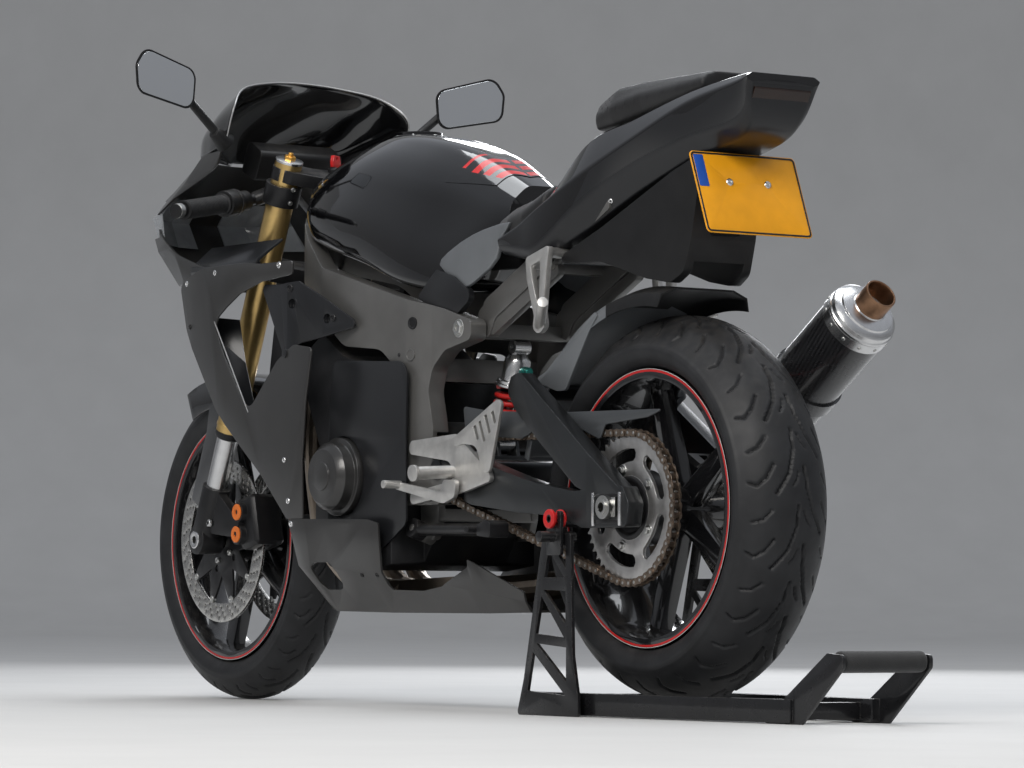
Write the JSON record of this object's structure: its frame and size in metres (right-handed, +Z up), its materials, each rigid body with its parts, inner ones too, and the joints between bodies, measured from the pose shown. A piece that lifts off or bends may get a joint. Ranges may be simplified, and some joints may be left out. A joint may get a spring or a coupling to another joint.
{
  "type": "sport bike",
  "caption": "Faired sport bike with twin-spar frame, chain drive and under-slung radiator, held by the rear spools on a paddock stand.",
  "frame": {"origin": "middle of the box round the bike and its stand, on the ground", "axes": "+X forward along the bike, +Y to the rider's left, +Z up"},
  "size_m": [2.211, 0.8028, 1.1833],
  "materials": {
    "tyre_rubber": "matte",
    "black_wheel": "gloss",
    "bare_steel": "brushed",
    "chain_steel": "satin",
    "black_metal": "satin",
    "gold_tube": "satin",
    "bright_metal": "polished",
    "frame_metal": "satin",
    "black_gloss": "gloss",
    "panel_grey": "satin",
    "black_plastic": "matte",
    "seat_cover": "grain",
    "smoked_lens": "gloss",
    "clear_lens": "gloss",
    "plate_yellow": "satin",
    "can_black": "carbon",
    "pipe_steel": "satin",
    "screen_black": "gloss",
    "mirror_silver": "mirror",
    "foam_black": "foam"
  },
  "bodies": {
    "chassis": {"drive_chain": "chain_steel", "frame": "frame_metal", "swingarm": "frame_metal", "rear_axle": "bright_metal", "fuel_tank": "black_gloss", "rider_seat": "seat_cover", "tail_cowl": "black_gloss", "pillion_seat": "seat_cover", "tail_light": "smoked_lens", "undertray": "black_plastic", "number_plate": "plate_yellow", "subframe": "black_metal", "engine": "black_metal", "engine_covers": "frame_metal", "radiator": "black_metal", "exhaust_headers": "pipe_steel", "silencer": "can_black", "silencer_cap": "bright_metal", "nose_cowl": "black_gloss", "headlights": "clear_lens", "windscreen": "screen_black", "mirrors": "black_plastic", "mirror_glass": "mirror_silver", "instrument_panel": "black_plastic", "side_fairings": "panel_grey", "belly_pan": "panel_grey", "inner_panels": "panel_grey", "rear_hugger": "black_plastic", "chain_guard": "black_plastic", "shock_absorber": "black_metal", "rear_caliper": "black_metal", "rider_footrests": "bright_metal", "pillion_footrests": "bright_metal", "paddock_stand": "black_metal", "stand_handle": "foam_black"},
    "steering": {"triple_clamps": "black_metal", "fork_sleeves": "gold_tube", "fork_legs": "bright_metal", "fork_feet": "black_metal", "front_axle": "bright_metal", "front_calipers": "black_metal", "front_mudguard": "black_gloss", "clip_ons": "black_metal", "hand_controls": "black_plastic"},
    "front_wheel": {"front_rim": "black_wheel", "front_tyre": "tyre_rubber", "front_discs": "bare_steel"},
    "rear_wheel": {"rear_rim": "black_wheel", "rear_tyre": "tyre_rubber", "rear_disc": "bare_steel", "rear_sprocket": "bare_steel"},
    "side_stand": {"side_stand": "black_metal"},
    "fuel_cap": {"fuel_cap": "bright_metal"}
  },
  "joints": [
    {"name": "steering_turn", "type": "hinge", "parent": "chassis", "child": "steering", "pos_m": [0.502, 0, 0.945], "axis": [-0.3955, 0, 0.9184], "range_deg": [-27, 27]},
    {"name": "front_wheel_spin", "type": "hinge", "parent": "steering", "child": "front_wheel", "pos_m": [0.815, 0, 0.3], "axis": [0, 1, 0], "continuous": true},
    {"name": "rear_wheel_spin", "type": "hinge", "parent": "chassis", "child": "rear_wheel", "pos_m": [-0.57, 0, 0.338], "axis": [0, 1, 0], "continuous": true},
    {"name": "side_stand_swing", "type": "hinge", "parent": "chassis", "child": "side_stand", "pos_m": [0.039, 0.125, 0.31], "axis": [0, -0.952, -0.306], "range_deg": [0, 100], "stiffness_Nm_per_rad": 4, "springref_deg": -34.38},
    {"name": "fuel_cap_lid", "type": "hinge", "parent": "chassis", "child": "fuel_cap", "pos_m": [0.276, 0, 1.0205], "axis": [0, 1, 0], "range_deg": [0, 100]}
  ]
}
